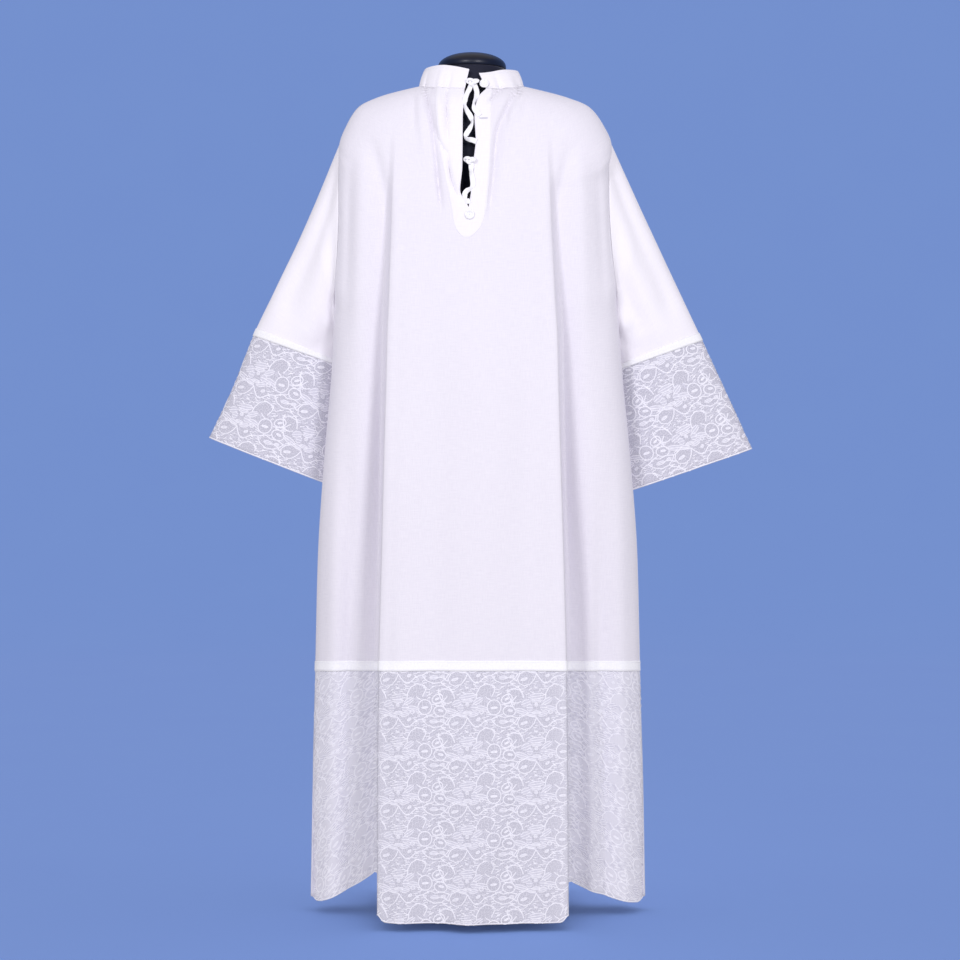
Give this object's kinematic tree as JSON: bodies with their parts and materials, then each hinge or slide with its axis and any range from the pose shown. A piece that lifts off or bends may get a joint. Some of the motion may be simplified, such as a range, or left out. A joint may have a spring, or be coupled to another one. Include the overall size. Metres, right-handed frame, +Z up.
{
  "type": "alb robe on dress form",
  "caption": "Full-length white alb with a stand collar, laced slit neck, wide sleeves with flared lace cuffs and a deep lace hem, worn by a limbless dress form on a round stand.",
  "frame": {"origin": "on the floor, at the middle of the stand's base", "axes": "+Z up, the front of the robe faces -Y, +X to the right of someone who looks at the front"},
  "size_m": [0.9209, 0.3521, 1.4445],
  "materials": {
    "cotton": "matte slubbed white cotton",
    "lace": "white floral lace over a fine net",
    "tape": "bright white woven tape",
    "button": "polished white",
    "form_cover": "close black knitted cover",
    "cap": "gloss black",
    "stand": "brushed"
  },
  "bodies": {
    "root": {"body_front": "cotton", "body_back": "cotton", "placket": "cotton", "collar": "cotton", "sleeve_left": "cotton", "sleeve_right": "cotton", "hem_lace": "lace", "cuff_lace_left": "lace", "cuff_lace_right": "lace", "hem_tape": "tape", "cuff_tape_left": "tape", "cuff_tape_right": "tape", "lacing_left": "tape", "lacing_right": "tape", "lacing_low": "tape", "knot_collar": "tape", "knot_middle": "tape", "collar_button": "button", "placket_button": "button", "form_torso": "form_cover", "neck_cap": "cap", "stand_base": "stand", "stand_pole": "stand"}
  },
  "joints": []
}
